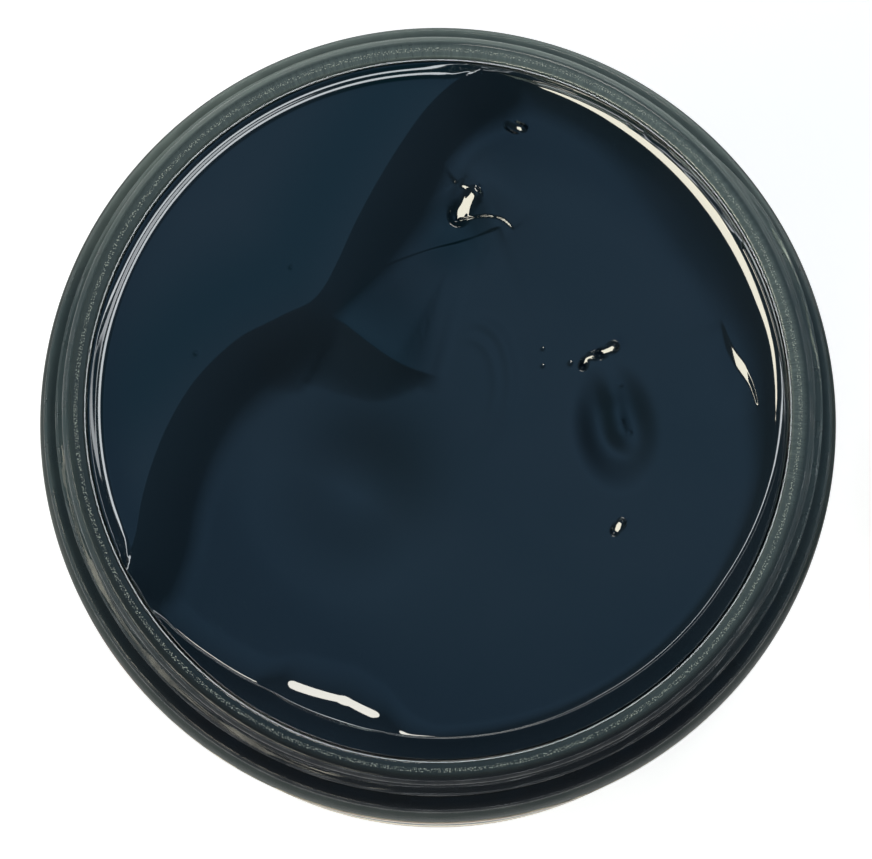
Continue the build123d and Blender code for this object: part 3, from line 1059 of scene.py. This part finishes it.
def makeLabelMaterial():
    # coated paper, printed satin reddish brown with a cream panel and a plain colour swatch; its back is bare
    inner = panelRadius - labelShape["sunk"]
    s = labelFinish
    material, tree = newMaterial("coated label paper printed")
    place, parts, radius = roundPlace(tree)
    angle = addNode(tree, "Math", {"operation": "ARCTAN2"}, {0: parts["X"], 1: parts["Y"]})
    angle = addNode(tree, "Math", {"operation": "ABSOLUTE"}, {0: angle})

    def block(half, low, high):
        sides = addNode(tree, "Math", {"operation": "GREATER_THAN", 1: math.radians(180 - half)},
                        {0: angle})
        above = addNode(tree, "Math", {"operation": "GREATER_THAN", 1: low * mm}, {0: parts["Z"]})
        below = addNode(tree, "Math", {"operation": "LESS_THAN", 1: high * mm}, {0: parts["Z"]})
        inside = addNode(tree, "Math", {"operation": "MULTIPLY"}, {0: above, 1: below})
        return addNode(tree, "Math", {"operation": "MULTIPLY"}, {0: sides, 1: inside})

    wide = s["lineWide"]
    border = block(s["panelHalf"] + s["lineTurn"], s["panelLow"] - wide, s["panelHigh"] + wide)
    colour = addNode(tree, "Mix",
                     {"data_type": "RGBA", 6: linearColour(s["print"]), 7: linearColour(s["line"])},
                     {0: border})
    blocks = [("panel", s["panelHalf"], s["panelLow"], s["panelHigh"]),
              ("swatch", s["swatchHalf"], s["swatchLow"], s["swatchHigh"])]
    blocks += [("print", s["swatchHalf"], low, low + s["ruleHigh"]) for low in s["rules"]]
    for ink, half, low, high in blocks:
        colour = addNode(tree, "Mix", {"data_type": "RGBA", 7: linearColour(s[ink])},
                         {0: block(half, low, high), 6: colour})
    printed = addNode(tree, "Math",
                      {"operation": "GREATER_THAN", 1: (inner + labelShape["paper"] - 0.02) * mm},
                      {0: radius})
    colour = addNode(tree, "Mix", {"data_type": "RGBA", 6: linearColour(s["paper"])},
                     {0: printed, 7: colour})
    fibre = addNode(tree, "TexNoise", {"Scale": 1 / (s["fibre"] * mm), "Detail": 3.0}, {"Vector": place})
    relief = addNode(tree, "Bump", {"Strength": 0.3, "Distance": 0.02 * mm}, {"Height": fibre})
    rough = addNode(tree, "MapRange", {"To Min": 0.38, "To Max": 0.55}, {"Value": fibre})
    shader = addNode(tree, "BsdfPrincipled", {"IOR": 1.5, "Specular IOR Level": 0.35},
                     {"Base Color": colour, "Roughness": rough, "Normal": relief})
    finishMaterial(tree, shader)
    return material


def makeLabel():
    s = labelShape
    inner = panelRadius - s["sunk"]
    outer = inner + s["paper"]
    low, high = labelLow.z / mm, labelHigh.z / mm
    corners = [(inner, high, 0), (outer, high, 0), (outer, low, 0), (inner, low, 0)]
    rows = roundedLine(corners, edgeGap=0.3, longest=6)
    rows += roundedLine([(inner, low, 0), (inner, high, 0)], edgeGap=0.3, longest=6)[1:-1]
    bm = spinLine(rows, s["steps"], closed=True)
    for v in bm.verts:
        if v.co.z > high - 0.01:
            x, y = v.co.x, v.co.y
            wander = 0.6 * noise.noise((x * 0.9, y * 0.9, 0.3)) + 0.5 * noise.noise((x * 0.12, y * 0.12, 1.7))
            v.co.z -= s["tear"] * (0.5 + wander)
    # the lap: a second layer over the seam
    part = bmesh.new()
    bmesh.ops.create_cube(part, size=1)
    across = [e for e in part.edges if abs(e.verts[0].co.x - e.verts[1].co.x) > 0.5]
    bmesh.ops.subdivide_edges(part, edges=across, cuts=12)
    half = s["lapWide"] / outer / 2
    for v in part.verts:
        around = math.radians(s["lapAt"]) + 2 * half * v.co.x
        r = outer - 0.01 if v.co.y < 0 else outer + s["flap"] * (0.4 if abs(v.co.x) > 0.49 else 1)
        z = low + 0.3 if v.co.z < 0 else high - s["tear"] - 0.2
        v.co = (r * math.cos(around), r * math.sin(around), z)
    bmesh.ops.recalc_face_normals(part, faces=part.faces)
    addTo(bm, part)
    piece = makePiece("labelWrap", bm, "jar_body", [makeLabelMaterial()], ["label"])
    for polygon in piece.data.polygons:
        polygon.use_smooth = abs(polygon.normal.z) < 0.5


makeLabel()

capFinish = dict(
    plastic="#e3dfd2",
    paint="#141d2b",
    foam="#dcd9cd",
    pressed="#b9b7ae",
    cell=0.28,  # mm, cells of the foam
    orange=1.6,  # mm, the soft ripple of the moulded face
    smearSize=9.0,
    smearReach=2.2,  # mm outside the jar's neck, where the thread carried paint
    blotSize=5.0,
    printIn=40.0,  # radii of the ring that the lip printed on the liner
    printOut=42.6,
    printEdge=0.4,
)


def makeCapMaterial():
    # injection-moulded polypropylene: warm white, waxy and slightly see-through, with paint on its thread
    s = capFinish
    material, tree = newMaterial("polypropylene moulded warm white")
    place, parts, radius = roundPlace(tree, capCentre.x)
    ripple = addNode(tree, "TexNoise", {"Scale": 1 / (s["orange"] * mm), "Detail": 2.0}, {"Vector": place})
    relief = addNode(tree, "Bump", {"Strength": 0.15, "Distance": 0.03 * mm}, {"Height": ripple})
    smear = addNode(tree, "TexNoise", {"Scale": 1 / (s["smearSize"] * mm), "Detail": 5.0, "Roughness": 0.6},
                    {"Vector": place})
    smear = addNode(tree, "MapRange", {"From Min": 0.56, "From Max": 0.6}, {"Value": smear})
    inside = addNode(tree, "Math",
                     {"operation": "LESS_THAN", 1: (jarShape["neckRadius"] + s["smearReach"]) * mm},
                     {0: radius})
    above = addNode(tree, "Math", {"operation": "GREATER_THAN", 1: linerTop * mm}, {0: parts["Z"]})
    dirty = inside
    for share in (above, smear):
        dirty = addNode(tree, "Math", {"operation": "MULTIPLY"}, {0: dirty, 1: share})
    colour = addNode(tree, "Mix",
                     {"data_type": "RGBA", 6: linearColour(s["plastic"]), 7: linearColour(s["paint"])},
                     {0: dirty})
    rough = addNode(tree, "MapRange", {"To Min": 0.34, "To Max": 0.16}, {"Value": dirty})
    shader = addNode(tree, "BsdfPrincipled",
                     {"IOR": 1.49, "Subsurface Weight": 0.08, "Subsurface Scale": 1.0 * mm},
                     {"Base Color": colour, "Roughness": rough, "Normal": relief})
    finishMaterial(tree, shader)
    return material


def makeFoamMaterial():
    # expanded polyethylene foam: off-white, fine closed cells, with a ring of paint where the lip pressed
    s = capFinish
    material, tree = newMaterial("polyethylene foam liner")
    place, _, radius = roundPlace(tree, capCentre.x)
    cells = addNode(tree, "TexVoronoi", {"Scale": 1 / (s["cell"] * mm)}, {"Vector": place})
    relief = addNode(tree, "Bump", {"Strength": 0.5, "Distance": 0.08 * mm}, {"Height": cells})
    patchy = addNode(tree, "TexNoise",
                     {"Scale": 1 / (s["blotSize"] * mm), "Detail": 5.0, "Roughness": 0.65},
                     {"Vector": place})
    fromIn = addNode(tree, "MapRange",
                     {"From Min": s["printIn"] * mm, "From Max": (s["printIn"] + s["printEdge"]) * mm},
                     {"Value": radius})
    toOut = addNode(tree, "MapRange",
                    {"From Min": s["printOut"] * mm, "From Max": (s["printOut"] - s["printEdge"]) * mm},
                    {"Value": radius})
    ring = addNode(tree, "Math", {"operation": "MULTIPLY"}, {0: fromIn, 1: toOut})
    wet = addNode(tree, "MapRange", {"From Min": 0.44, "From Max": 0.5}, {"Value": patchy})
    printed = addNode(tree, "Math", {"operation": "MULTIPLY"}, {0: ring, 1: wet})
    base = addNode(tree, "Mix",
                   {"data_type": "RGBA", 6: linearColour(s["foam"]), 7: linearColour(s["pressed"])},
                   {0: ring})
    colour = addNode(tree, "Mix", {"data_type": "RGBA", 7: linearColour(s["paint"])}, {0: printed, 6: base})
    rough = addNode(tree, "MapRange", {"To Min": 0.75, "To Max": 0.25}, {"Value": printed})
    shader = addNode(tree, "BsdfPrincipled", {"IOR": 1.5},
                     {"Base Color": colour, "Roughness": rough, "Normal": relief})
    finishMaterial(tree, shader)
    return material


def dressCap():
    for node, material in (("lid_shell", makeCapMaterial()), ("lid_liner", makeFoamMaterial())):
        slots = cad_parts[node].data.materials
        slots.clear()
        slots.append(material)


dabs = dict(
    # direction in degrees, then in mm: distance from the cap's middle, half length, half width and height
    places=[(200, 36.5, 5.5, 2.0, 0.5), (221, 37.6, 2.6, 1.4, 0.35), (78, 37.2, 4.2, 1.7, 0.45),
            (96, 34.0, 1.3, 1.0, 0.3), (330, 36.8, 3.4, 1.5, 0.4), (142, 20.0, 2.2, 1.6, 0.45),
            (12, 9.0, 1.1, 0.9, 0.3), (268, 28.0, 1.5, 1.2, 0.3)],
    wobble=0.22,
)


def makeDabs():
    # drops of paint that the lid lifted off the jar
    bm = bmesh.new()
    for index, (direction, out, length, width, height) in enumerate(dabs["places"]):
        made = bmesh.ops.create_icosphere(bm, subdivisions=3, radius=1.0)
        around = math.radians(direction)
        for v in made["verts"]:
            wobble = 1 + dabs["wobble"] * noise.noise(v.co * 1.3 + Vector((index, 0, 0)))
            along, across, up = v.co.x * length * wobble, v.co.y * width * wobble, v.co.z * height
            r = out + across
            turned = around + along / out
            v.co = (capCentre.x + r * math.cos(turned), r * math.sin(turned), linerTop + up)
    makePiece("paintOnLiner", bm, "cap_liner", [makePaintMaterial()])


dressCap()
print("cap and liner dressed")
makeDabs()

bpy.context.scene.view_settings.view_transform = "Standard"
